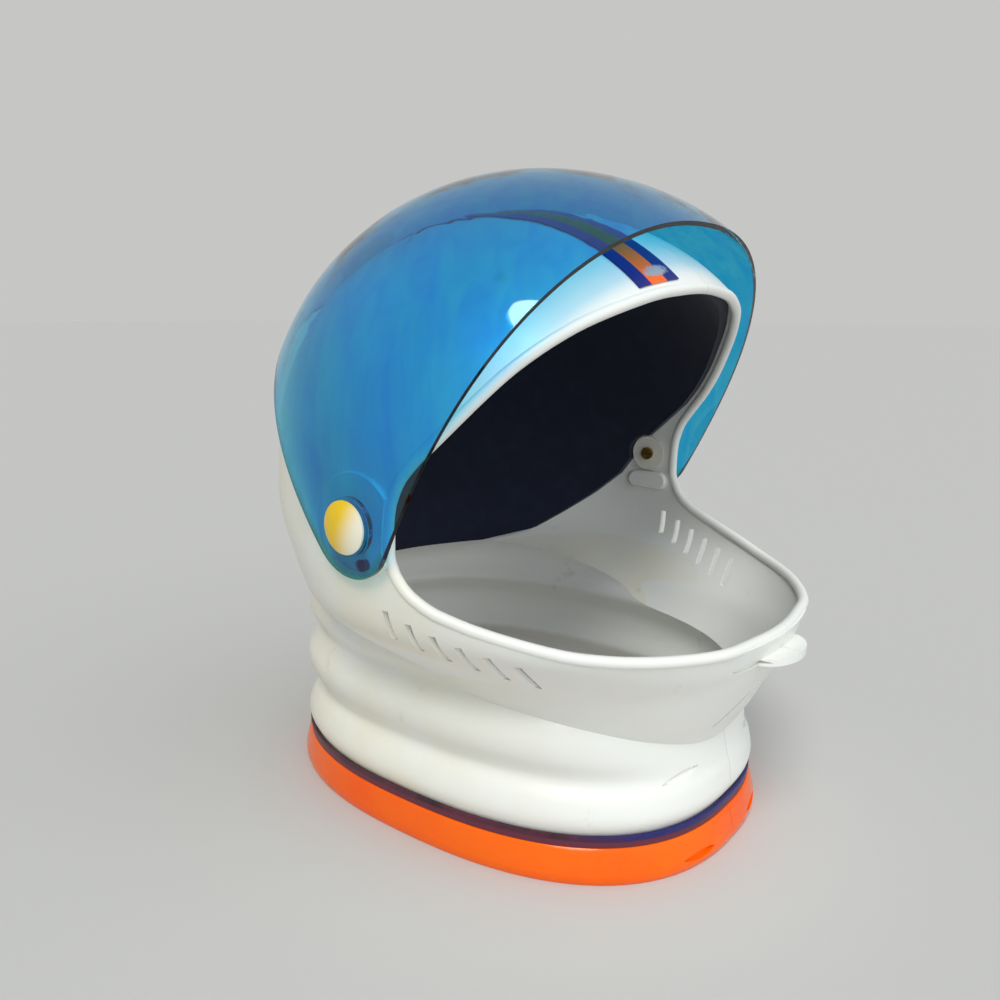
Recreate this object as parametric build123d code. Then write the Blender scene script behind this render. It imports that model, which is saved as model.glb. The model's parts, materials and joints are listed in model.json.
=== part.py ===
from build123d import *
from math import asin, cos, degrees, pi, radians, sin, tan
import os

os.makedirs("parts", exist_ok=True)

# Space helmet with a tilting visor. Lengths in millimetres, angles in degrees.
# Heights run up from the floor. Reaches run forward (-Y) or rearward (+Y) from
# the upright axis of the neck. The left half is drawn and mirrored for the right.

# moulded shell
shell_height = 280.4
shell_half_width = 120.4
dome_rise = 110.8
dome_set_forward = 7.2
chin_reach = 142.0
nape_reach = 114.0
wall = 2.4
half_joint_gap = 0.3
lip_radius = 2.4

# bellows neck
neck_height = 100.0
neck_half_width = 84.4
neck_front_reach = 116.2
neck_rear_reach = 114.2

# base ring and the two bands above it
ring_height = 15.8
ring_flare = 5.2
ring_ledge_height = 5.7
ring_ledge_width = 3.2
ring_end_growth_share = 1.35  # growth to the front and the rear, of that to the side
band_thickness = 1.2
maroon_band_height = 2.8
navy_band_height = 2.0
navy_growth_share = 1.4  # of the maroon band's growth over the neck's foot
seat_gap = 0.3

# chin details
tab_reach = 6.6
tab_half_width = 19.6
tab_thickness = 3.0
tab_height = 95.2
recess_depth = 1.2
recess_length = 20.0
recess_width = 3.8
chin_recess_off_centre = 26.5
neck_recess_off_centre = 33.0
neck_recess_height = 42.3
neck_recess_slant = -11.0
ring_recess_off_centre = 27.2
slot_width = 3.2
slot_height = 12.6
slot_lean = 1.0
vent_width = 1.2
vent_length = 9.0
vent_slant = 135.0

# crown stripe
stripe_width = 23.5
stripe_off_centre = 31.25
stripe_thickness = 0.4
stripe_rear_reach = 92.0
stripe_lip_margin_share = 1.4  # distance behind the rim, of the lip's radius

# visor
crown_gap = 17.1
visor_half_width = 126.4
visor_thickness = 2.0
visor_ear_radius = 21.4
visor_axis_lift = 14.5
visor_axis_lead = 6.96
visor_hub_radius = 8.0
visor_front_bearing = 120.0
visor_rear_bearing = 51.7

# pivots
pivot_height = 153.0
pivot_set_forward = 10.84
pad_radius = 21.5
pad_face = 121.0
post_radius = 3.5
post_running_clearance = 0.06
post_fit_clearance = 0.1
washer_radius = 10.0
washer_thickness = 0.6
cap_radius = 10.75
cap_edge = 0.8
cap_crown = 2.4
boss_radius = 11.8
boss_depth = 4.2
inner_boss_radius = 9.0
inner_boss_face = 116.5
inner_washer_thickness = 0.8
screw_head_radius = 3.6
screw_head_height = 1.9
screw_shank_radius = 2.0
screw_shank_length = 7.0
screw_slot_width = 0.9
stop_peg_radius = 2.2
stop_orbit = 16.0
stop_track_depth = 1.4
visor_travel = 72.0
stop_rest_bearing = -112.0
track_bulge_length = 25.7
track_bulge_height = 10.0
track_bulge_depth = 2.4

# liner
liner_thickness = 5.0
liner_rim_margin = 4.0
liner_relief = 1.0

# Neck stations: height, half width, front reach and rear reach, each as a
# share of the neck's own size.
neck_station_shares = [
    (0.060, 1.000, 1.000, 1.000),
    (0.110, 1.000, 1.000, 1.000),
    (0.160, 1.000, 1.000, 1.000),
    (0.205, 1.011, 1.010, 1.011),
    (0.250, 1.034, 1.033, 1.032),
    (0.305, 1.035, 1.038, 1.034),
    (0.355, 1.010, 1.032, 1.014),
    (0.395, 0.970, 1.022, 0.982),
    (0.430, 0.953, 1.014, 0.968),
    (0.465, 0.970, 1.008, 0.984),
    (0.515, 1.010, 0.998, 1.014),
    (0.575, 1.030, 0.987, 1.030),
    (0.635, 1.022, 0.977, 1.020),
    (0.685, 0.984, 0.966, 0.988),
    (0.735, 0.950, 0.953, 0.960),
    (0.785, 0.982, 0.943, 0.986),
    (0.835, 1.012, 0.934, 1.012),
    (0.885, 1.014, 0.923, 1.010),
    (0.925, 1.000, 0.911, 0.995),
    (0.960, 0.967, 0.894, 0.966),
    (1.000, 0.924, 0.869, 0.928),
]

# Chin and cheek stations below the dome's equator: height as a share of the
# equator's height, half width of the shell's, front reach of the chin's, rear
# reach of the nape's, centre's offset forward of the chin's reach, and the
# exponents of the section's front and rear halves.
cheek_station_shares = [
    (0.2736, 0.1329, 0.7324, -0.3158, 0.5352, 2.30, 2.12),
    (0.2948, 0.2990, 0.7887, -0.1579, 0.4789, 2.30, 2.12),
    (0.3208, 0.4543, 0.8310, 0.0175, 0.4085, 2.30, 2.00),
    (0.3449, 0.5116, 0.8486, 0.2193, 0.3662, 2.30, 1.90),
    (0.3685, 0.5640, 0.8648, 0.3947, 0.3239, 2.30, 1.80),
    (0.4068, 0.6171, 0.8887, 0.5877, 0.2746, 2.30, 1.60),
    (0.4334, 0.6520, 0.9049, 0.6667, 0.2394, 2.30, 1.50),
    (0.4688, 0.6993, 0.9261, 0.7193, 0.1831, 2.30, 1.50),
    (0.4982, 0.7392, 0.9437, 0.7544, 0.1338, 2.30, 1.50),
    (0.5277, 0.7890, 0.9592, 0.7982, 0.0986, 2.30, 1.55),
    (0.5572, 0.8389, 0.9754, 0.8772, 0.0775, 2.30, 1.70),
    (0.5896, 0.8912, 0.9887, 0.8947, 0.0655, 2.28, 1.78),
    (0.6274, 0.9419, 1.0000, 0.9000, 0.0563, 2.25, 1.82),
    (0.7075, 0.9834, 0.9894, 0.9105, 0.0535, 2.20, 1.90),
    (0.8019, 0.9983, 0.9542, 0.9526, 0.0521, 2.12, 2.00),
    (0.8962, 1.0000, 0.9183, 0.9912, 0.0507, 2.05, 2.04),
]

# Rim of the face opening from the brow's middle round the pivot to the chin's
# middle: height as a share of the shell's, and bearing forward of the side.
rim_shares = [
    (0.8755, 90.0),
    (0.8645, 68.7),
    (0.8445, 55.9),
    (0.8231, 46.3),
    (0.7960, 38.6),
    (0.7636, 31.8),
    (0.7229, 25.7),
    (0.6805, 20.0),
    (0.6451, 15.1),
    (0.6134, 11.5),
    (0.5788, 9.4),
    (0.5421, 8.5),
    (0.5036, 7.8),
    (0.4840, 8.4),
    (0.4672, 9.3),
    (0.4540, 10.6),
    (0.4429, 12.5),
    (0.4340, 14.5),
    (0.4208, 19.3),
    (0.4105, 24.1),
    (0.4016, 29.0),
    (0.3934, 33.7),
    (0.3869, 38.4),
    (0.3816, 45.9),
    (0.3780, 54.4),
    (0.3748, 63.9),
    (0.3730, 71.2),
    (0.3723, 90.0),
]

# Side slots: reach forward and height of each slot's top, as shares of the
# chin's reach and the shell's height.
slot_shares = [
    (0.1599, 0.4255),
    (0.2331, 0.4119),
    (0.3056, 0.4001),
    (0.3775, 0.3887),
    (0.4500, 0.3780),
    (0.5232, 0.3673),
]

# Chin vents: distance off centre and height of each vent's middle, as shares
# of the tab's half width and the tab's height.
vent_shares = [
    (0.54, 0.77),
    (0.75, 0.73),
    (0.96, 0.69),
]

# Outer profile of the base ring: height as a share of the ring's, and flare as
# a share of the ring's own.
ring_profile_shares = [
    (0, 0.80),
    (0.08, 0.93),
    (0.20, 1.0),
    (0.50, 0.92),
    (0.80, 0.74),
    (0.94, 0.62),
    (1.0, 0.50),
]

# Lower edge of the liner from the nape to the temple: reach rearward and
# height, as shares of the nape's reach and the shell's height.
liner_edge_shares = [
    (0.895, 0.352),
    (0.807, 0.350),
    (0.711, 0.350),
    (0.605, 0.352),
    (0.439, 0.371),
    (0.325, 0.407),
    (0.202, 0.446),
    (0.061, 0.496),
    (-0.070, 0.571),
    (-0.219, 0.624),
]

# Latitudes of the dome's sections above its equator, in degrees.
dome_latitudes = [0, 10, 20, 30, 40, 50, 60, 70, 80, 87]

# Exponents of the rounded outlines: 2 is an ellipse, and more is squarer.
neck_front_exponent = 2.5
neck_rear_exponent = 2.35
dome_exponent = 2.12
visor_rim_exponent = 2.4
visor_side_exponent = 2.2

# Part of a straight run that each rounded corner of the lip's path may use.
corner_run_share = 0.45

equator_height = shell_height - dome_rise
far = 4 * shell_half_width


# Odd power: keeps the sign of its base.
def power(base, exponent):
    return abs(base) ** exponent * (1 if base >= 0 else -1)


# Half outline of one level section, from its front to its rear.
def section_points(row, inset, steps=16):
    height, half_width, front, rear, middle, front_exponent, back_exponent = row
    points = []
    for step in range(steps + 1):
        turn = -pi / 2 + pi * step / steps
        exponent = front_exponent if turn < 0 else back_exponent
        reach = front + middle if turn < 0 else rear - middle
        across = (half_width - inset) * power(cos(turn), 2 / exponent)
        along = middle + (reach - inset) * power(sin(turn), 2 / exponent)
        points.append((across if 0 < step < steps else 0, along))
    return points


# Left half of a level section's outline, from the front to the rear.
def half_outline(row, inset=0):
    return Spline(*section_points(row, inset))


# Level section as a face at its own height.
def section(row, inset=0):
    points = section_points(row, inset)
    other_half = Spline(*[(-x, y) for x, y in reversed(points)])
    return Pos(0, 0, row[0]) * make_face(half_outline(row, inset) + other_half)


def neck_row(shares):
    height, width, front, rear = shares
    return (height * neck_height, width * neck_half_width, front * neck_front_reach,
            rear * neck_rear_reach, 0, neck_front_exponent, neck_rear_exponent)


def cheek_row(shares):
    height, width, front, rear, middle, front_exponent, back_exponent = shares
    return (height * equator_height, width * shell_half_width, front * chin_reach,
            rear * nape_reach, -middle * chin_reach, front_exponent, back_exponent)


# Section of the dome at a latitude above its equator.
def dome_row(latitude, inset=0):
    spread = cos(radians(latitude)) ** (2 / dome_exponent)
    lift = sin(radians(latitude)) ** (2 / dome_exponent)
    radius = (shell_half_width - inset) * spread
    height = equator_height + (dome_rise - inset) * lift
    return (height, radius, radius + dome_set_forward, radius - dome_set_forward,
            -dome_set_forward, 2.0, 2.0)


neck_rows = [neck_row(shares) for shares in neck_station_shares]
cheek_rows = [cheek_row(shares) for shares in cheek_station_shares]


# Bellows neck as one solid, its straight foot run down by the length below.
def neck_form(inset=0, below=0):
    rows = [section(row, inset) for row in neck_rows]
    if below:
        lowest = (neck_rows[0][0] - below,) + neck_rows[0][1:]
        rows = [section(lowest, inset)] + rows
    return loft(rows)


# Chin, cheeks and dome as one solid.
def head_form(inset=0):
    rows = [section(row, inset) for row in cheek_rows]
    rows += [section(dome_row(latitude, inset)) for latitude in dome_latitudes]
    return loft(rows)


# Point on the head's surface at a height and a bearing forward of the side.
def skin_point(height, bearing, inset=0):
    if height >= equator_height:
        lift = ((height - equator_height) / (dome_rise - inset)) ** (dome_exponent / 2)
        row = dome_row(degrees(asin(min(lift, 1))), inset)
        inset = 0
    else:
        rows = cheek_rows + [dome_row(0)]
        above = next(index for index, row in enumerate(rows) if row[0] > height)
        low, high = rows[above - 1], rows[above]
        share = (height - low[0]) / (high[0] - low[0])
        row = [a + (b - a) * share for a, b in zip(low, high)]
    half_width, front, middle, exponent = row[1], row[2], row[4], row[5]
    turn = radians(bearing)
    across = (half_width - inset) * cos(turn) ** (2 / exponent) if bearing < 90 else 0
    along = middle - (front + middle - inset) * sin(turn) ** (2 / exponent)
    return (across, along, height)


# Closed side-view outline (y, z) pushed out along X from start to end.
def side_prism(points, start, end):
    face = make_face(Polyline(*[(y, z) for y, z in points], close=True))
    return Pos(start, 0, 0) * extrude(Plane.YZ * face, end - start)


# Round bar along X through the visor's pivot.
def side_disc(radius, start, end):
    bar = Rot(0, 90, 0) * Cylinder(radius, end - start)
    return Pos((start + end) / 2, -pivot_set_forward, pivot_height) * bar


# Straight runs joined by tangent arcs nearly as long as the runs allow.
def tangent_path(points):
    corners = [Vector(*point) for point in points]
    radii = []
    for before, here, after in zip(corners, corners[1:], corners[2:]):
        turn = (here - before).get_angle(after - here)
        run = min((here - before).length, (after - here).length)
        radii.append(corner_run_share * run / tan(radians(turn / 2)))
    return FilletPolyline(*corners, radius=radii)


# Side-view outline, pushed out along X, of all that lies behind the rim line
# moved back from it by a margin.
def behind_rim(margin, lower_edge):
    shift = margin * cos(pi / 4)
    edge = [(point[1] + shift, point[2] + shift) for point in rim_line if point[1] < lower_edge[-1][0]]
    edge = [point for point in edge if point[1] > lower_edge[-1][1]]
    start = (edge[0][0] - far, edge[0][1] + far)
    return side_prism([(far, far), start] + edge + lower_edge[::-1] + [(far, lower_edge[0][1])],
                      -far, far)


# Leaf outline of a moulded recess.
def leaf():
    tip = recess_length / 2
    upper = ThreePointArc((-tip, 0), (0, recess_width / 2), (tip, 0))
    lower = ThreePointArc((tip, 0), (0, -recess_width / 2), (-tip, 0))
    return make_face(upper + lower)


left_side = Pos((far + half_joint_gap) / 2, 0, 0) * Box(far, far, 2 * far)
left_side_inner = Pos(far / 2 - wall, 0, 0) * Box(far, far, 2 * far)


# shell half: neck, cheeks and dome, hollowed
outer = (neck_form() + head_form()) & left_side

# chin tab, a flat half ellipse standing out of the chin
tab = Pos(0, tab_reach - chin_reach, tab_height) * extrude(
    Ellipse(tab_half_width, 2 * tab_reach), tab_thickness / 2, both=True)
outer += tab & left_side

# round pad the visor turns against
pad = side_disc(pad_radius, shell_half_width - 5 * wall, pad_face)
pad = chamfer(pad.edges().sort_by(Axis.X)[-1], wall / 3)
outer += pad

inner = (neck_form(wall, ring_height / 3) & left_side_inner)
inner += (head_form(wall) & left_side_inner)
shell_half = outer - inner

# face opening, cut square to the side view along the rim line
rim_line = [skin_point(height * shell_height, bearing, wall / 2) for height, bearing in rim_shares]
brow, chin = rim_line[0], rim_line[-1]
brow_run = (brow[1] - rim_line[1][1], brow[2] - rim_line[1][2])
runs_past_brow = 8
rim_side_view = [(brow[1] + runs_past_brow * brow_run[0], brow[2] + runs_past_brow * brow_run[1])]
rim_side_view += [(point[1], point[2]) for point in rim_line]
rim_side_view += [(-far, chin[2])]
opening_outline = Spline(*rim_side_view[:-1]) + Polyline(
    rim_side_view[-2], rim_side_view[-1], (-far, rim_side_view[0][1]), rim_side_view[0])
opening_cut = extrude(Plane.YZ * make_face(opening_outline), far)
shell_half -= opening_cut

# rolled lip along the rim, run past the middle and cut back to the half joint
lip_points = [(-x, y, z) for x, y, z in rim_line[2:0:-1]] + rim_line
lip_points += [(-x, y, z) for x, y, z in rim_line[-2:-4:-1]]
lip_path = tangent_path(lip_points)
lip_start = Plane(lip_path @ 0, z_dir=lip_path % 0)
lip = sweep(lip_start * Circle(lip_radius), lip_path) & left_side
shell_half += lip

# side slots, leaning parallelograms through the cheek
for forward, top in slot_shares:
    y = -forward * chin_reach
    z = top * shell_height
    corners = [(y + slot_width / 2, z), (y - slot_width / 2, z),
               (y - slot_width / 2 - slot_lean, z - slot_height),
               (y + slot_width / 2 - slot_lean, z - slot_height)]
    shell_half -= side_prism(corners, neck_half_width, far)

# slanted vents under the chin tab
for off_centre, rise in vent_shares:
    vent = Rot(0, 0, vent_slant) * SlotOverall(vent_length, vent_width)
    vent = Plane.XZ * Pos(off_centre * tab_half_width, rise * tab_height) * vent
    shell_half -= extrude(vent, far) - extrude(vent, neck_front_reach - 3 * tab_reach)

# leaf-shaped recesses in the chin and the neck
chin_leaf = Plane.XZ * Pos(chin_recess_off_centre, tab_height) * leaf()
shell_half -= extrude(chin_leaf, far) - head_form(recess_depth)
neck_leaf = Pos(neck_recess_off_centre, neck_recess_height) * Rot(0, 0, neck_recess_slant) * leaf()
neck_leaf = Plane.XZ * neck_leaf
shell_half -= extrude(neck_leaf, far) - neck_form(recess_depth)

# inside of the pivot: round boss, bulge behind the stop track, bore
shell_half += side_disc(inner_boss_radius, inner_boss_face, shell_half_width - wall / 2)
bulge = Plane.YZ * Pos(-pivot_set_forward, pivot_height - stop_orbit) * SlotOverall(
    track_bulge_length, track_bulge_height)
bulge_face = inner_boss_face - track_bulge_depth
bulge = Pos(bulge_face, 0, 0) * extrude(bulge, track_bulge_depth + wall)
shell_half += chamfer(bulge.edges().group_by(Axis.X)[0], track_bulge_depth / 2)
shell_half -= side_disc(post_radius + post_fit_clearance, inner_boss_face - wall, far)

# curved track for the visor's stop peg
track_line = CenterArc((0, 0), stop_orbit, stop_rest_bearing, visor_travel)
track = Plane.YZ * Pos(-pivot_set_forward, pivot_height) * SlotArc(
    track_line, 2 * (stop_peg_radius + seat_gap))
shell_half -= Pos(pad_face - stop_track_depth, 0, 0) * extrude(track, far)

# base ring half: rounded outside, ledge under the neck's edge
neck_foot = neck_rows[0]


# Neck foot's section widened by a growth and set at a height.
def foot_row(growth, height):
    end_growth = growth * ring_end_growth_share
    return (height, neck_foot[1] + growth, neck_foot[2] + end_growth, neck_foot[3] + end_growth,
            0, neck_front_exponent, neck_rear_exponent)


# Upright prism of the widened foot section between two heights.
def foot_prism(growth, low, high):
    return extrude(section(foot_row(growth, low)), high - low)


ring = loft([section(foot_row(ring_flare * flare, ring_height * rise))
             for rise, flare in ring_profile_shares])
ring_half = ring & left_side
ring_half -= foot_prism(seat_gap, ring_ledge_height, far) & left_side_inner
ring_half -= foot_prism(-ring_ledge_width, -wall, far) & left_side_inner
ring_leaf = Plane.XZ * Pos(ring_recess_off_centre, ring_ledge_height) * leaf()
ring_half -= extrude(ring_leaf, far) - foot_prism(ring_flare - recess_depth, 0, ring_height)

# bands laid round the neck above the ring
maroon_foot = ring_height + seat_gap
maroon_top = maroon_foot + maroon_band_height
navy_foot = maroon_top + seat_gap
navy_top = navy_foot + navy_band_height
band_growth = (neck_rows[3][1] - neck_foot[1]) + seat_gap


# Half hoop round the neck with its inside grown from the foot section.
def band(growth, low, high):
    inside = half_outline(foot_row(growth, low))
    outside = half_outline(foot_row(growth + band_thickness, low))
    edges = [inside, Line(inside @ 0, outside @ 0), outside, Line(inside @ 1, outside @ 1)]
    return Pos(0, 0, low) * extrude(make_face(edges), high - low)


maroon_band = band(band_growth, maroon_foot, maroon_top)
navy_band = band(navy_growth_share * band_growth, navy_foot, navy_top)

# crown stripe, a thin skin over the dome beside its middle line
stripe_box = Pos(-stripe_off_centre, stripe_rear_reach - far / 2, equator_height + far / 2) * Box(
    stripe_width, far, far)
crown_stripe = head_form(-seat_gap - stripe_thickness) & stripe_box
stripe_foot = [(stripe_rear_reach, equator_height), (-pivot_set_forward, equator_height)]
crown_stripe &= behind_rim(stripe_lip_margin_share * lip_radius, stripe_foot)
crown_stripe -= head_form(-seat_gap)

# visor, a wedge of a turned bubble with an ear round each pivot
visor_axis_height = pivot_height + visor_axis_lift
visor_radius = shell_height + crown_gap - visor_axis_height
visor_place = Pos(0, -pivot_set_forward - visor_axis_lead, visor_axis_height)


# Turned bubble, smaller all over by an inset, with a small flat hub at each end.
def bubble(inset=0, steps=16):
    radius = visor_radius - inset
    first = asin((visor_hub_radius / radius) ** (visor_rim_exponent / 2))
    points = []
    for step in range(steps + 1):
        turn = first + (pi - 2 * first) * step / steps
        across = -(visor_half_width - inset) * power(cos(turn), 2 / visor_side_exponent)
        points.append((across, radius * power(sin(turn), 2 / visor_rim_exponent)))
    ends = [points[-1], (points[-1][0], 0), (points[0][0], 0), points[0]]
    face = make_face(Spline(*points) + Polyline(*ends))
    return visor_place * revolve(Plane.XZ * face, Axis.X)


# Point in the side view at a distance from the pivot along a bearing.
def from_pivot(distance, bearing):
    return (distance * cos(radians(bearing)) - pivot_set_forward,
            distance * sin(radians(bearing)) + pivot_height)


# Side-view wedge between the visor's front and rear edges.
def visor_wedge():
    front_foot = from_pivot(visor_ear_radius, visor_front_bearing + 90)
    rear_foot = from_pivot(visor_ear_radius, visor_rear_bearing - 90)
    front_end = from_pivot(far, visor_front_bearing)
    rear_end = from_pivot(far, visor_rear_bearing)
    corners = [front_foot, front_end, rear_end, rear_foot]
    return side_prism(corners, -far, far) + side_disc(visor_ear_radius, -far, far)


visor = bubble() & visor_wedge()
visor -= bubble(visor_thickness)
for side in (1, -1):
    boss_face = visor_half_width - boss_depth
    peg_y, peg_z = from_pivot(stop_orbit, stop_rest_bearing)
    peg_end = pad_face - stop_track_depth + seat_gap
    peg = Rot(0, 90, 0) * Cylinder(stop_peg_radius, boss_face + visor_thickness / 2 - peg_end)
    peg = Pos((boss_face + visor_thickness / 2 + peg_end) / 2, peg_y, peg_z) * peg
    boss = side_disc(boss_radius, boss_face, visor_half_width)
    bore = side_disc(post_radius + post_running_clearance, pad_face, far)
    if side < 0:
        peg, boss, bore = [mirror(form, about=Plane.YZ) for form in (peg, boss, bore)]
    visor = visor + boss + peg - bore

# pivot hardware on the left side
washer_face = pad_face + seat_gap
friction_washer = side_disc(washer_radius, washer_face, washer_face + washer_thickness)
friction_washer -= side_disc(post_radius + seat_gap, pad_face, far)

cap_face = visor_half_width + seat_gap
post_end = cap_face + cap_crown / 2
post = side_disc(post_radius, inner_boss_face + seat_gap, post_end)
post -= side_disc(screw_shank_radius + seat_gap, 0, inner_boss_face + screw_shank_length)

cap_top = cap_face + cap_edge + cap_crown
cap_curve = (cap_radius ** 2 + cap_crown ** 2) / (2 * cap_crown)
cap = side_disc(cap_radius, cap_face, cap_top)
cap &= Pos(cap_top - cap_curve, -pivot_set_forward, pivot_height) * Rot(0, 0, 180) * Sphere(cap_curve)
cap -= side_disc(post_radius + post_fit_clearance, 0, post_end + seat_gap)

inner_washer_face = inner_boss_face - seat_gap - inner_washer_thickness
inner_washer = side_disc(washer_radius, inner_washer_face, inner_boss_face - seat_gap)
inner_washer -= side_disc(screw_shank_radius + seat_gap, 0, far)

head_face = inner_washer_face - seat_gap
screw = side_disc(screw_head_radius, head_face - screw_head_height, head_face)
screw += side_disc(screw_shank_radius, head_face, inner_boss_face + screw_shank_length - seat_gap)
screw_slot = Box(screw_head_height, 3 * screw_head_radius, screw_slot_width)
screw -= Pos(head_face - screw_head_height, -pivot_set_forward, pivot_height) * screw_slot

# liner half: padded skin inside the dome
liner_edge = [(rearward * nape_reach, rise * shell_height) for rearward, rise in liner_edge_shares]
liner_half = head_form(wall + seat_gap) & left_side & behind_rim(liner_rim_margin, liner_edge)
liner_half -= head_form(wall + seat_gap + liner_thickness)
liner_half -= side_disc(washer_radius + liner_relief, 0, far)

# all pieces, moved so that the middle of the overall length stands on the origin
whole_front = chin_reach + tab_reach
whole_rear = neck_foot[3] + ring_flare * ring_end_growth_share
to_frame = Pos(0, (whole_front - whole_rear) / 2, 0)
paired = {"shell": shell_half, "base_ring": ring_half, "pivot_cap": cap, "pivot_post": post,
          "friction_washer": friction_washer, "inner_washer": inner_washer,
          "pivot_screw": screw, "liner": liner_half, "maroon_band": maroon_band,
          "navy_band": navy_band}
pieces = {"visor": visor, "crown_stripe": crown_stripe}
for name, piece in paired.items():
    pieces[name + "_left"] = piece
    pieces[name + "_right"] = mirror(piece, about=Plane.YZ)
for name, piece in pieces.items():
    export_step(to_frame * piece, "parts/" + name + ".step")
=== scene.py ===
import json
import math

import bpy
from mathutils import Matrix, Vector

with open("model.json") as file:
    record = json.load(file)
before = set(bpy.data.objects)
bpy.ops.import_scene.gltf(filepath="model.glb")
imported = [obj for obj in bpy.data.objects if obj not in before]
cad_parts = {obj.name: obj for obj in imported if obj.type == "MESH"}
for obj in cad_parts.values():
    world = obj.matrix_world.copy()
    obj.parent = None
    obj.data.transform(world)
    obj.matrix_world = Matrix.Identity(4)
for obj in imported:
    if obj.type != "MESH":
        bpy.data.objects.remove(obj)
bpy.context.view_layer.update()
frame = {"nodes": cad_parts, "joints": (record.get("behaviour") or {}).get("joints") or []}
print("helmet: frame loaded,", len(frame["nodes"]), "nodes")

pivot = frame["joints"][0]["pos_m"]

# a Mix node's sockets when it mixes colours
firstColour, secondColour, mixedColour = 6, 7, 2


def metres(millimetres):
    return millimetres / 1000


def hexColour(text):
    # sRGB hex to linear RGBA
    channels = [int(text[i:i + 2], 16) / 255 for i in (1, 3, 5)]
    return [c / 12.92 if c <= 0.04045 else ((c + 0.055) / 1.055) ** 2.4 for c in channels] + [1]


def addNode(tree, kind, settings=None, links=None):
    # settings: socket name or number, or node property, to value or hex; links: input to output socket
    node = tree.nodes.new(kind)
    for name, value in (settings or {}).items():
        if isinstance(value, str) and value.startswith("#"):
            value = hexColour(value)
        if isinstance(name, str) and hasattr(node, name) and name not in node.inputs:
            setattr(node, name, value)
        else:
            node.inputs[name].default_value = value
    for name, output in (links or {}).items():
        tree.links.new(output, node.inputs[name])
    return node


def newMaterial(name):
    material = bpy.data.materials.new(name)
    material.use_nodes = True
    material.node_tree.nodes.clear()
    return material, material.node_tree


def fineBump(tree, where, sizeMm, depthMm, detail=3.0, over=None):
    # surface grain, laid over another bump where there is one
    noise = addNode(tree, "ShaderNodeTexNoise", {"Scale": 1 / metres(sizeMm), "Detail": detail},
                    {"Vector": where})
    links = {"Height": noise.outputs["Fac"]}
    if over:
        links["Normal"] = over
    bump = addNode(tree, "ShaderNodeBump", {"Strength": 1.0, "Distance": metres(depthMm)}, links)
    return bump.outputs["Normal"]


def blotches(tree, where, sizeMm, low, high, detail=4.0):
    # 0 to 1 mask of soft patches
    noise = addNode(tree, "ShaderNodeTexNoise", {
        "Scale": 1 / metres(sizeMm), "Detail": detail, "Roughness": 0.6}, {"Vector": where})
    return addNode(tree, "ShaderNodeMapRange", {"From Min": low, "From Max": high},
                   {"Value": noise.outputs["Fac"]}).outputs[0]


shellLook = {
    "white": "#eef0ea",
    "yellowed": "#ebe6cf",         # where the sun has been at it
    "yellowedMm": (-75.0, 15.0),   # front to rear: none before the first, full behind the second
    "patches": {"sizeMm": 90, "low": 0.3, "high": 0.6},
    "grime": "#b9b5a2",            # handling dirt
    "grimy": {"sizeMm": 22, "low": 0.66, "high": 0.9, "detail": 8.0},
    "roughness": (0.3, 0.45),      # as moulded, and rubbed
    "rubbed": {"sizeMm": 14, "low": 0.4, "high": 0.8},
    "grain": {"sizeMm": 1.1, "depthMm": 0.012},   # moulded orange peel
    "ior": 1.55,
}


def injectionMouldedStyrene():
    # thick glossy moulding: soft broad highlights, faint waviness, patches yellowed towards the rear
    material, tree = newMaterial("injectionMouldedStyrene")
    coordinates = addNode(tree, "ShaderNodeTexCoord")
    where = coordinates.outputs["Object"]
    along = addNode(tree, "ShaderNodeSeparateXYZ", links={"Vector": where}).outputs["Y"]
    front, rear = shellLook["yellowedMm"]
    rearward = addNode(tree, "ShaderNodeMapRange", {"From Min": metres(front), "From Max": metres(rear)},
                       {"Value": along}).outputs[0]
    aged = addNode(tree, "ShaderNodeMath", {"operation": "MULTIPLY"}, {
        0: rearward, 1: blotches(tree, where, **shellLook["patches"])}).outputs[0]

    # the inside, whose normals point back to the middle, stays white
    outward = addNode(tree, "ShaderNodeVectorMath", {"operation": "DOT_PRODUCT"}, {
        0: coordinates.outputs["Normal"], 1: where}).outputs["Value"]
    isOutside = addNode(tree, "ShaderNodeMath", {"operation": "GREATER_THAN", 1: 0.0},
                        {0: outward}).outputs[0]
    aged = addNode(tree, "ShaderNodeMath", {"operation": "MULTIPLY"}, {0: aged, 1: isOutside}).outputs[0]

    colour = addNode(tree, "ShaderNodeMix", {
        "data_type": "RGBA", firstColour: shellLook["white"], secondColour: shellLook["yellowed"]},
        {"Factor": aged}).outputs[mixedColour]
    colour = addNode(tree, "ShaderNodeMix", {"data_type": "RGBA", secondColour: shellLook["grime"]}, {
        "Factor": blotches(tree, where, **shellLook["grimy"]), firstColour: colour}).outputs[mixedColour]
    moulded, dulled = shellLook["roughness"]
    rough = addNode(tree, "ShaderNodeMapRange", {"To Min": moulded, "To Max": dulled},
                    {"Value": blotches(tree, where, **shellLook["rubbed"])}).outputs[0]
    shader = addNode(tree, "ShaderNodeBsdfPrincipled", {"IOR": shellLook["ior"]}, {
        "Base Color": colour, "Roughness": rough, "Normal": fineBump(tree, where, **shellLook["grain"])})
    addNode(tree, "ShaderNodeOutputMaterial", links={"Surface": shader.outputs[0]})
    return material


ringLook = {
    "orange": "#ff6a00",
    "deep": "#fb5800",
    "deepened": {"sizeMm": 60, "low": 0.4, "high": 0.7},
    "roughness": (0.16, 0.34),     # as moulded, and rubbed
    "rubbed": {"sizeMm": 9, "low": 0.5, "high": 0.8},
    "grain": {"sizeMm": 3.0, "depthMm": 0.012},
    "ior": 1.5,
    "specular": 0.35,
}


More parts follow.
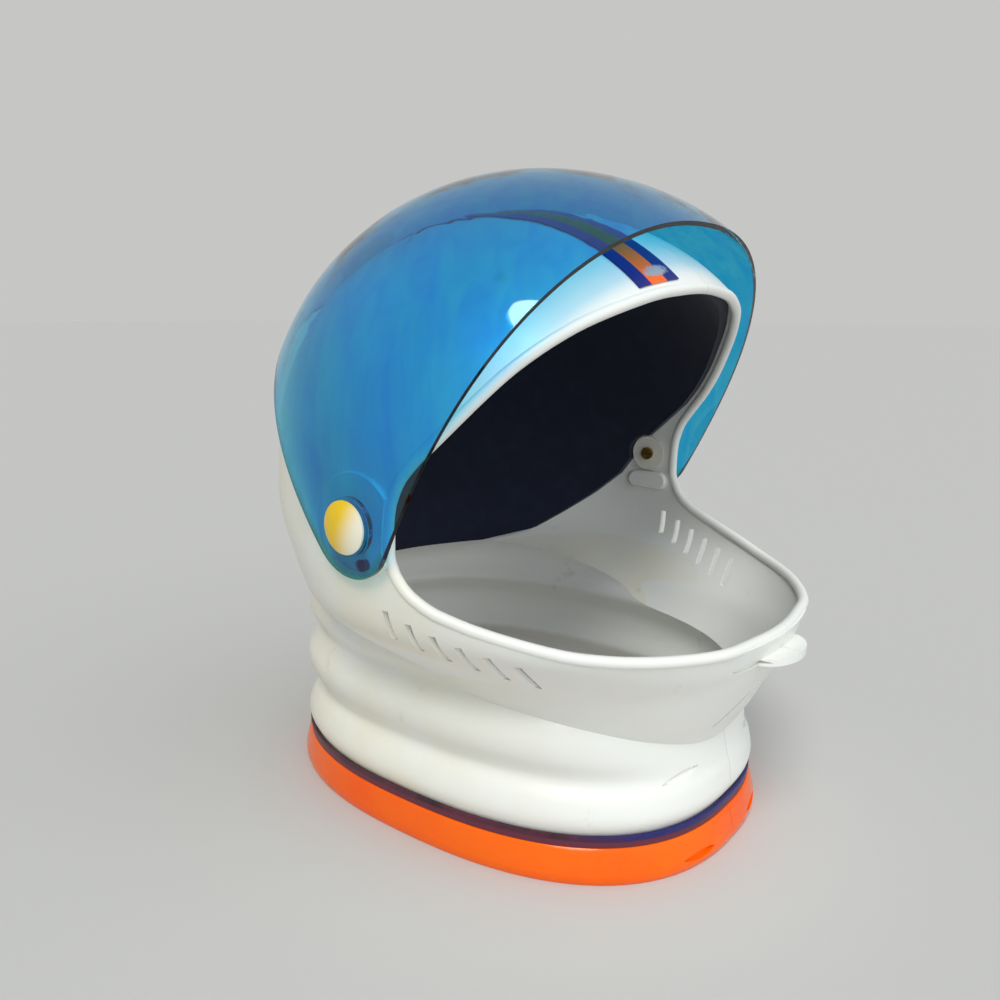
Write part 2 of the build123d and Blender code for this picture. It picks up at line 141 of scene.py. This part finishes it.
def glossOrangeMoulding():
    # high gloss colour moulded through, with a few rubbed places
    material, tree = newMaterial("glossOrangeMoulding")
    where = addNode(tree, "ShaderNodeTexCoord").outputs["Object"]
    colour = addNode(tree, "ShaderNodeMix", {
        "data_type": "RGBA", firstColour: ringLook["orange"], secondColour: ringLook["deep"]},
        {"Factor": blotches(tree, where, **ringLook["deepened"])}).outputs[mixedColour]
    moulded, dulled = ringLook["roughness"]
    rough = addNode(tree, "ShaderNodeMapRange", {"To Min": moulded, "To Max": dulled},
                    {"Value": blotches(tree, where, **ringLook["rubbed"])}).outputs[0]
    shader = addNode(tree, "ShaderNodeBsdfPrincipled", {
        "IOR": ringLook["ior"], "Specular IOR Level": ringLook["specular"]}, {
        "Base Color": colour, "Roughness": rough, "Normal": fineBump(tree, where, **ringLook["grain"])})
    addNode(tree, "ShaderNodeOutputMaterial", links={"Surface": shader.outputs[0]})
    return material


maroonTapeLook = {
    "maroon": "#64243a",
    "scuffed": "#6f3a50",
    "scuffs": {"sizeMm": 7, "low": 0.62, "high": 0.8, "detail": 8.0},
    "roughness": 0.38,
    "grain": {"sizeMm": 1.5, "depthMm": 0.015},
    "ior": 1.5,
}


def maroonVinyl():
    # printed vinyl tape: even satin with slight scuffs
    material, tree = newMaterial("maroonVinyl")
    where = addNode(tree, "ShaderNodeTexCoord").outputs["Object"]
    colour = addNode(tree, "ShaderNodeMix", {
        "data_type": "RGBA",
        firstColour: maroonTapeLook["maroon"], secondColour: maroonTapeLook["scuffed"]},
        {"Factor": blotches(tree, where, **maroonTapeLook["scuffs"])}).outputs[mixedColour]
    shader = addNode(tree, "ShaderNodeBsdfPrincipled", {
        "Roughness": maroonTapeLook["roughness"], "IOR": maroonTapeLook["ior"]}, {
        "Base Color": colour, "Normal": fineBump(tree, where, **maroonTapeLook["grain"])})
    addNode(tree, "ShaderNodeOutputMaterial", links={"Surface": shader.outputs[0]})
    return material


navyTapeLook = {
    "navy": "#1a1a66",
    "rusted": "#5c2238",
    "shaded": "#2c1020",
    "shadows": {"sizeMm": 16, "low": 0.35, "high": 0.7},
    "fadeMm": (-66.0, -92.0),      # rear to front: all turned behind the first, none before the second
    "roughness": 0.38,
    "grain": {"sizeMm": 1.5, "depthMm": 0.015},
    "ior": 1.5,
}


def bleachedNavyTape():
    # satin navy vinyl, turned the maroon of the band below it except at the front
    material, tree = newMaterial("bleachedNavyTape")
    where = addNode(tree, "ShaderNodeTexCoord").outputs["Object"]
    along = addNode(tree, "ShaderNodeSeparateXYZ", links={"Vector": where}).outputs["Y"]
    rear, front = navyTapeLook["fadeMm"]
    kept = addNode(tree, "ShaderNodeMapRange", {"From Min": metres(rear), "From Max": metres(front)},
                   {"Value": along}).outputs[0]
    turned = addNode(tree, "ShaderNodeMix", {
        "data_type": "RGBA", firstColour: navyTapeLook["rusted"], secondColour: navyTapeLook["shaded"]},
        {"Factor": blotches(tree, where, **navyTapeLook["shadows"])}).outputs[mixedColour]
    colour = addNode(tree, "ShaderNodeMix", {"data_type": "RGBA", secondColour: navyTapeLook["navy"]}, {
        "Factor": kept, firstColour: turned}).outputs[mixedColour]
    shader = addNode(tree, "ShaderNodeBsdfPrincipled", {
        "Roughness": navyTapeLook["roughness"], "IOR": navyTapeLook["ior"]}, {
        "Base Color": colour, "Normal": fineBump(tree, where, **navyTapeLook["grain"])})
    addNode(tree, "ShaderNodeOutputMaterial", links={"Surface": shader.outputs[0]})
    return material


stripeLook = {
    "navy": "#1a1c78",
    "orange": "#fb6a14",
    "orangeMm": (-36.6, -27.4),           # edges of the middle band, across the helmet
    "worn": "#a3a7b0",                    # what is left where it is rubbed through
    "wornPlaceMm": (-31.5, -75.5, 252.0),
    "wornSizeMm": (9.6, 3.3, 3.3),
    "wornEdge": (1.25, 1.65),             # bare within the first, whole past the second
    "ragged": {"Scale": 1 / metres(2.0), "Detail": 4.0},
    "roughness": 0.34,
    "grain": {"sizeMm": 2.0, "depthMm": 0.01},
    "ior": 1.5,
}


def threeBandDecal():
    # water-slide decal: navy, orange, navy, with one spot rubbed through
    material, tree = newMaterial("threeBandDecal")
    where = addNode(tree, "ShaderNodeTexCoord").outputs["Object"]
    across = addNode(tree, "ShaderNodeSeparateXYZ", links={"Vector": where}).outputs["X"]
    outer, inner = (metres(edge) for edge in stripeLook["orangeMm"])
    offMiddle = addNode(tree, "ShaderNodeMath", {"operation": "SUBTRACT", 1: (outer + inner) / 2},
                        {0: across}).outputs[0]
    offMiddle = addNode(tree, "ShaderNodeMath", {"operation": "ABSOLUTE"}, {0: offMiddle}).outputs[0]
    isNavy = addNode(tree, "ShaderNodeMath", {"operation": "GREATER_THAN", 1: (inner - outer) / 2},
                     {0: offMiddle}).outputs[0]
    colour = addNode(tree, "ShaderNodeMix", {
        "data_type": "RGBA", firstColour: stripeLook["orange"], secondColour: stripeLook["navy"]},
        {"Factor": isNavy}).outputs[mixedColour]

    # distance from the worn spot, in its own size, with a ragged edge
    place, size = stripeLook["wornPlaceMm"], stripeLook["wornSizeMm"]
    spot = addNode(tree, "ShaderNodeMapping", {
        "Location": [-p / s for p, s in zip(place, size)], "Scale": [1 / metres(s) for s in size]},
        {"Vector": where}).outputs[0]
    away = addNode(tree, "ShaderNodeVectorMath", {"operation": "LENGTH"}, {0: spot}).outputs["Value"]
    ragged = addNode(tree, "ShaderNodeTexNoise", stripeLook["ragged"], {"Vector": where}).outputs["Fac"]
    edge = addNode(tree, "ShaderNodeMath", {"operation": "ADD"}, {0: away, 1: ragged}).outputs[0]
    bare, whole = stripeLook["wornEdge"]
    worn = addNode(tree, "ShaderNodeMapRange", {"From Min": whole, "From Max": bare},
                   {"Value": edge}).outputs[0]
    colour = addNode(tree, "ShaderNodeMix", {"data_type": "RGBA", secondColour: stripeLook["worn"]}, {
        "Factor": worn, firstColour: colour}).outputs[mixedColour]
    shader = addNode(tree, "ShaderNodeBsdfPrincipled", {
        "Roughness": stripeLook["roughness"], "IOR": stripeLook["ior"]}, {
        "Base Color": colour, "Normal": fineBump(tree, where, **stripeLook["grain"])})
    addNode(tree, "ShaderNodeOutputMaterial", links={"Surface": shader.outputs[0]})
    return material


visorLook = {
    "deep": "#24b0ea",                # what white light becomes through one thickness
    "pale": "#4ccae8",                # the same in the cloudy streaks
    "cloudMm": (11.0, 11.0, 46.0),
    "cloud": {"Scale": 1.0, "Detail": 5.0, "Roughness": 0.65, "Distortion": 0.6},
    "cloudRange": (0.35, 0.7),
    "reachMm": 21.4,                  # from the pivot to each trimmed edge, in the side view
    "earBelowMm": 8.0,                # the ear's round end starts this far below the pivot
    "rim": "#38a08c",                 # greenish where the sheet was trimmed
    "rimMm": 4.6,
    "rimStrength": 0.85,
    "rearEdge": (0, 0.785, -0.620),   # unit directions out across the two straight edges
    "frontEdge": (0, -0.866, -0.5),
    "cut": "#081a52",                 # painted shade: the sawn front edge, seen end on, is painted dark navy
    "cutMm": 0.7,
    "peg": "#0a2f78",                 # painted shade: the solid stop peg is painted nearly black
    "pegPlaceMm": (0, -5.99, -14.83),
    "pegMm": 2.5,
    "lightShare": 0.5,                # of the tint, at each of the sheet's two surfaces
    "roughness": (0.02, 0.05),        # polished, and hazed by handling
    "hazed": {"sizeMm": 30, "low": 0.3, "high": 0.8},
    "ripple": {"sizeMm": 35.7, "depthMm": 0.4, "detail": 1.0},
    "ior": 1.49,
}


def tintedClearAcrylic():
    # blown blue acrylic: deep tint with cloudy streaks, hard reflections, tinted light beneath it; painted
    # shade on the sawn front edge and on the stop peg
    material, tree = newMaterial("tintedClearAcrylic")
    where = addNode(tree, "ShaderNodeTexCoord").outputs["Object"]
    stretched = addNode(tree, "ShaderNodeMapping", {
        "Scale": [1 / metres(size) for size in visorLook["cloudMm"]]}, {"Vector": where}).outputs[0]
    cloud = addNode(tree, "ShaderNodeTexNoise", visorLook["cloud"], {"Vector": stretched}).outputs["Fac"]
    clearest, cloudiest = visorLook["cloudRange"]
    cloudy = addNode(tree, "ShaderNodeMapRange", {"From Min": clearest, "From Max": cloudiest},
                     {"Value": cloud}).outputs[0]
    tint = addNode(tree, "ShaderNodeMix", {
        "data_type": "RGBA", firstColour: visorLook["deep"], secondColour: visorLook["pale"]},
        {"Factor": cloudy}).outputs[mixedColour]

    # how far a point is out towards the trimmed edges, in the side view
    rise = addNode(tree, "ShaderNodeVectorMath", {"operation": "SUBTRACT", 1: pivot}, {0: where}).outputs[0]
    flat = addNode(tree, "ShaderNodeVectorMath", {"operation": "MULTIPLY", 1: (0, 1, 1)},
                   {0: rise}).outputs[0]
    toRear = addNode(tree, "ShaderNodeVectorMath", {"operation": "DOT_PRODUCT", 1: visorLook["rearEdge"]},
                     {0: flat}).outputs["Value"]
    fromPivot = addNode(tree, "ShaderNodeVectorMath", {"operation": "LENGTH"}, {0: flat}).outputs["Value"]
    below = addNode(tree, "ShaderNodeVectorMath", {"operation": "DOT_PRODUCT", 1: (0, 0, -1)},
                    {0: flat}).outputs["Value"]
    isEar = addNode(tree, "ShaderNodeMath", {
        "operation": "GREATER_THAN", 1: metres(visorLook["earBelowMm"])}, {0: below}).outputs[0]
    inEar = addNode(tree, "ShaderNodeMath", {"operation": "MULTIPLY"}, {0: isEar, 1: fromPivot}).outputs[0]
    outward = addNode(tree, "ShaderNodeMath", {"operation": "MAXIMUM"}, {0: toRear, 1: inEar}).outputs[0]
    reach = metres(visorLook["reachMm"])
    rim = addNode(tree, "ShaderNodeMapRange", {
        "From Min": reach - metres(visorLook["rimMm"]), "From Max": reach,
        "To Max": visorLook["rimStrength"]}, {"Value": outward}).outputs[0]
    tint = addNode(tree, "ShaderNodeMix", {"data_type": "RGBA", secondColour: visorLook["rim"]}, {
        "Factor": rim, firstColour: tint}).outputs[mixedColour]

    # painted shade: a band along the sawn front edge is painted dark navy
    toFront = addNode(tree, "ShaderNodeVectorMath", {"operation": "DOT_PRODUCT", 1: visorLook["frontEdge"]},
                      {0: flat}).outputs["Value"]
    cutEdgePaintedShade = addNode(tree, "ShaderNodeMath", {
        "operation": "GREATER_THAN", 1: reach - metres(visorLook["cutMm"])}, {0: toFront}).outputs[0]
    tint = addNode(tree, "ShaderNodeMix", {"data_type": "RGBA", secondColour: visorLook["cut"]}, {
        "Factor": cutEdgePaintedShade, firstColour: tint}).outputs[mixedColour]

    # painted shade: the stop peg is painted nearly black
    fromPeg = addNode(tree, "ShaderNodeVectorMath", {
        "operation": "DISTANCE", 1: [metres(size) for size in visorLook["pegPlaceMm"]]},
        {0: flat}).outputs["Value"]
    pegPaintedShade = addNode(tree, "ShaderNodeMath", {"operation": "LESS_THAN", 1: metres(visorLook["pegMm"])},
                    {0: fromPeg}).outputs[0]
    tint = addNode(tree, "ShaderNodeMix", {"data_type": "RGBA", secondColour: visorLook["peg"]}, {
        "Factor": pegPaintedShade, firstColour: tint}).outputs[mixedColour]

    polished, hazed = visorLook["roughness"]
    rough = addNode(tree, "ShaderNodeMapRange", {"To Min": polished, "To Max": hazed},
                    {"Value": blotches(tree, where, **visorLook["hazed"])}).outputs[0]
    shader = addNode(tree, "ShaderNodeBsdfPrincipled", {
        "IOR": visorLook["ior"], "Transmission Weight": 1.0}, {
        "Base Color": tint, "Roughness": rough, "Normal": fineBump(tree, where, **visorLook["ripple"])})

    # lamplight and bounced light on their way to the shell pass straight through, tinted
    surfaceTint = addNode(tree, "ShaderNodeGamma", {"Gamma": visorLook["lightShare"]},
                          {"Color": tint}).outputs[0]
    clear = addNode(tree, "ShaderNodeBsdfTransparent", links={"Color": surfaceTint})
    path = addNode(tree, "ShaderNodeLightPath")
    isLight = addNode(tree, "ShaderNodeMath", {"operation": "MAXIMUM"}, {
        0: path.outputs["Is Shadow Ray"], 1: path.outputs["Is Diffuse Ray"]}).outputs[0]
    either = addNode(tree, "ShaderNodeMixShader", links={
        0: isLight, 1: shader.outputs[0], 2: clear.outputs[0]})
    addNode(tree, "ShaderNodeOutputMaterial", links={"Surface": either.outputs[0]})
    return material


capLook = {
    "yellow": "#f0c800",
    "cream": "#efecd6",
    "fadeTowards": (0, -0.93, -0.37),     # forward and a little down
    "fadeMm": (-3.0, 9.0),                # from the pivot, that way
    "roughness": 0.25,
    "grain": {"sizeMm": 1.2, "depthMm": 0.01},
    "ior": 1.5,
}


def fadedYellowCap():
    # glossy button, yellow turning to cream towards its lower front
    material, tree = newMaterial("fadedYellowCap")
    where = addNode(tree, "ShaderNodeTexCoord").outputs["Object"]
    rise = addNode(tree, "ShaderNodeVectorMath", {"operation": "SUBTRACT", 1: pivot}, {0: where}).outputs[0]
    lean = addNode(tree, "ShaderNodeVectorMath", {"operation": "DOT_PRODUCT", 1: capLook["fadeTowards"]},
                   {0: rise}).outputs["Value"]
    low, high = capLook["fadeMm"]
    faded = addNode(tree, "ShaderNodeMapRange", {
        "interpolation_type": "SMOOTHSTEP", "From Min": metres(low), "From Max": metres(high)},
        {"Value": lean}).outputs[0]
    colour = addNode(tree, "ShaderNodeMix", {
        "data_type": "RGBA", firstColour: capLook["yellow"], secondColour: capLook["cream"]},
        {"Factor": faded}).outputs[mixedColour]
    shader = addNode(tree, "ShaderNodeBsdfPrincipled", {
        "Roughness": capLook["roughness"], "IOR": capLook["ior"]}, {
        "Base Color": colour, "Normal": fineBump(tree, where, **capLook["grain"])})
    addNode(tree, "ShaderNodeOutputMaterial", links={"Surface": shader.outputs[0]})
    return material


brassLook = {
    "bright": "#c9a24e",
    "tarnished": "#7d6a3a",
    "tarnish": {"sizeMm": 3, "low": 0.4, "high": 0.8},
    "roughness": 0.32,
    "grain": {"sizeMm": 0.4, "depthMm": 0.01},
}


def turnedBrass():
    # lathe-turned brass dulled by age
    material, tree = newMaterial("turnedBrass")
    where = addNode(tree, "ShaderNodeTexCoord").outputs["Object"]
    colour = addNode(tree, "ShaderNodeMix", {
        "data_type": "RGBA", firstColour: brassLook["bright"], secondColour: brassLook["tarnished"]},
        {"Factor": blotches(tree, where, **brassLook["tarnish"])}).outputs[mixedColour]
    shader = addNode(tree, "ShaderNodeBsdfPrincipled", {
        "Metallic": 1.0, "Roughness": brassLook["roughness"]}, {
        "Base Color": colour, "Normal": fineBump(tree, where, **brassLook["grain"])})
    addNode(tree, "ShaderNodeOutputMaterial", links={"Surface": shader.outputs[0]})
    return material


nylonLook = {
    "milky": "#e9e7dc",
    "roughness": 0.5,
    "grain": {"sizeMm": 0.8, "depthMm": 0.01},
    "ior": 1.53,
}


def nylonWasher():
    # moulded nylon: milky white with a dull sheen
    material, tree = newMaterial("nylonWasher")
    where = addNode(tree, "ShaderNodeTexCoord").outputs["Object"]
    shader = addNode(tree, "ShaderNodeBsdfPrincipled", {
        "Base Color": nylonLook["milky"], "Roughness": nylonLook["roughness"], "IOR": nylonLook["ior"]}, {
        "Normal": fineBump(tree, where, **nylonLook["grain"])})
    addNode(tree, "ShaderNodeOutputMaterial", links={"Surface": shader.outputs[0]})
    return material


linerLook = {
    "navy": "#151d33",
    "lint": "#1c243b",
    "linty": {"sizeMm": 12, "low": 0.45, "high": 0.75, "detail": 6.0},
    "ribMm": 11.6,                 # soft ribs, drawn far coarser than the knit's so that they show
    "ribDepthMm": 0.12,
    "ribStrength": 0.6,
    "ribWaviness": 1.5,
    "ribDetail": 2.0,
    "nap": {"sizeMm": 0.9, "depthMm": 0.08, "detail": 6.0},   # coarser than the real nap too
    "roughness": 0.95,
    "sheen": 0.12,
    "sheenRoughness": 0.5,
}

# Blender's diagonal bands are this far apart at a scale of 1
diagonalBand = 2 * math.pi / (10 * math.sqrt(3))


def brushedNylonTricot():
    # dark foam-backed lining: nearly black, soft nap, a little sheen at the edge
    material, tree = newMaterial("brushedNylonTricot")
    where = addNode(tree, "ShaderNodeTexCoord").outputs["Object"]
    colour = addNode(tree, "ShaderNodeMix", {
        "data_type": "RGBA", firstColour: linerLook["navy"], secondColour: linerLook["lint"]},
        {"Factor": blotches(tree, where, **linerLook["linty"])}).outputs[mixedColour]
    ribs = addNode(tree, "ShaderNodeTexWave", {
        "wave_type": "BANDS", "bands_direction": "DIAGONAL",
        "Scale": diagonalBand / metres(linerLook["ribMm"]),
        "Distortion": linerLook["ribWaviness"], "Detail": linerLook["ribDetail"]}, {"Vector": where})
    ribbed = addNode(tree, "ShaderNodeBump", {
        "Strength": linerLook["ribStrength"], "Distance": metres(linerLook["ribDepthMm"])},
        {"Height": ribs.outputs["Fac"]}).outputs["Normal"]
    shader = addNode(tree, "ShaderNodeBsdfPrincipled", {
        "Roughness": linerLook["roughness"], "Sheen Weight": linerLook["sheen"],
        "Sheen Roughness": linerLook["sheenRoughness"]}, {
        "Base Color": colour, "Normal": fineBump(tree, where, over=ribbed, **linerLook["nap"])})
    addNode(tree, "ShaderNodeOutputMaterial", links={"Surface": shader.outputs[0]})
    return material


finishes = {
    "shell": injectionMouldedStyrene(),
    "base_ring": glossOrangeMoulding(),
    "maroon_band": maroonVinyl(),
    "navy_band": bleachedNavyTape(),
    "crown_stripe": threeBandDecal(),
    "visor": tintedClearAcrylic(),
    "pivot_cap": fadedYellowCap(),
    "pivot_post": turnedBrass(),
    "pivot_screw": turnedBrass(),
    "inner_washer": nylonWasher(),
    "liner": brushedNylonTricot(),
}
finishes["friction_washer"] = finishes["inner_washer"]
for nodeName, node in frame["nodes"].items():
    family = nodeName.removesuffix("_left").removesuffix("_right")
    node.data.materials.clear()
    node.data.materials.append(finishes[family])
print("helmet: finishes on")

studioLook = {
    "floor": "#c9c9c6",
    "floorRoughness": 0.85,
    "floorSizeM": 40.0,
    "sky": "#e2e5ea",
    "skyStrength": 0.38,
    "brightSide": (-0.17, -0.86, 0.48),   # unit direction of the brightest part of the sky
    "brightStrength": 1.7,
    "brightFrom": 0.35,                   # cosine off that direction where it begins
    "backdrop": "#c6c6c5",
    "keyLamp": {"from": (-0.62, -0.30, 0.9), "strength": 1.5, "spread": 0.4, "tone": "#fffefa"},
}


def layFloor():
    bpy.ops.mesh.primitive_plane_add(size=studioLook["floorSizeM"])
    floor = bpy.context.object
    floor.name = "floor"
    material, tree = newMaterial("matteBackdropPaint")
    shader = addNode(tree, "ShaderNodeBsdfPrincipled", {
        "Base Color": studioLook["floor"], "Roughness": studioLook["floorRoughness"]})
    addNode(tree, "ShaderNodeOutputMaterial", links={"Surface": shader.outputs[0]})
    floor.data.materials.append(material)


def lightSky():
    # a plain sky, brighter on one side, lights the helmet, and a pale backdrop is seen in its place
    world = bpy.data.worlds.new("studio")
    world.use_nodes = True
    tree = world.node_tree
    tree.nodes.clear()
    direction = addNode(tree, "ShaderNodeTexCoord").outputs["Generated"]
    facing = addNode(tree, "ShaderNodeVectorMath", {"operation": "DOT_PRODUCT", 1: studioLook["brightSide"]},
                     {0: direction}).outputs["Value"]
    strength = addNode(tree, "ShaderNodeMapRange", {
        "interpolation_type": "SMOOTHSTEP", "From Min": studioLook["brightFrom"],
        "To Min": studioLook["skyStrength"], "To Max": studioLook["brightStrength"]},
        {"Value": facing}).outputs[0]
    sky = addNode(tree, "ShaderNodeBackground", {"Color": studioLook["sky"]}, {"Strength": strength})
    backdrop = addNode(tree, "ShaderNodeBackground", {"Color": studioLook["backdrop"]})
    path = addNode(tree, "ShaderNodeLightPath")
    isSeen = addNode(tree, "ShaderNodeMath", {"operation": "MAXIMUM"}, {
        0: path.outputs["Is Camera Ray"], 1: path.outputs["Is Transmission Ray"]}).outputs[0]
    isSeen = addNode(tree, "ShaderNodeMath", {"operation": "MAXIMUM"}, {
        0: path.outputs["Is Glossy Ray"], 1: isSeen}).outputs[0]
    either = addNode(tree, "ShaderNodeMixShader", links={
        0: isSeen, 1: sky.outputs[0], 2: backdrop.outputs[0]})
    addNode(tree, "ShaderNodeOutputWorld", links={"Surface": either.outputs[0]})
    bpy.context.scene.world = world


def hangLamp(name, look):
    # a far lamp, wide enough for soft shadows
    lamp = bpy.data.lights.new(name, "SUN")
    lamp.energy = look["strength"]
    lamp.angle = look["spread"]
    lamp.color = hexColour(look["tone"])[:3]
    holder = bpy.data.objects.new(name, lamp)
    holder.location = look["from"]
    holder.rotation_euler = (-Vector(look["from"])).to_track_quat("-Z", "Y").to_euler()
    bpy.context.scene.collection.objects.link(holder)


layFloor()
lightSky()
hangLamp("keyLamp", studioLook["keyLamp"])
print("helmet: studio lit")

cameraLook = {
    "position": (-0.3562, -0.25031, 0.2343),
    "yaw": -52.31,
    "pitch": 11.79,
    "roll": 0.20,
    "focalPixels": 895.7,
    "framePixels": 1000,
    "sensorMm": 36,
    "clipM": (0.01, 50),
}


def photographCamera():
    yaw, pitch, roll = (math.radians(cameraLook[angle]) for angle in ("yaw", "pitch", "roll"))
    back = Vector((math.sin(yaw) * math.cos(pitch), -math.cos(yaw) * math.cos(pitch), math.sin(pitch)))
    level = Vector((math.cos(yaw), math.sin(yaw), 0))
    upright = back.cross(level)
    right = level * math.cos(roll) + upright * math.sin(roll)
    up = upright * math.cos(roll) - level * math.sin(roll)
    lens = bpy.data.cameras.new("photographCamera")
    lens.sensor_width = cameraLook["sensorMm"]
    lens.lens = cameraLook["focalPixels"] / cameraLook["framePixels"] * lens.sensor_width
    lens.clip_start, lens.clip_end = cameraLook["clipM"]
    camera = bpy.data.objects.new("photographCamera", lens)
    bpy.context.scene.collection.objects.link(camera)
    turned = Matrix((right, up, back)).transposed().to_4x4()
    camera.matrix_world = Matrix.Translation(cameraLook["position"]) @ turned
    bpy.context.scene.camera = camera


photographCamera()
bpy.context.scene.view_settings.view_transform = "Standard"
print("helmet: camera ready")
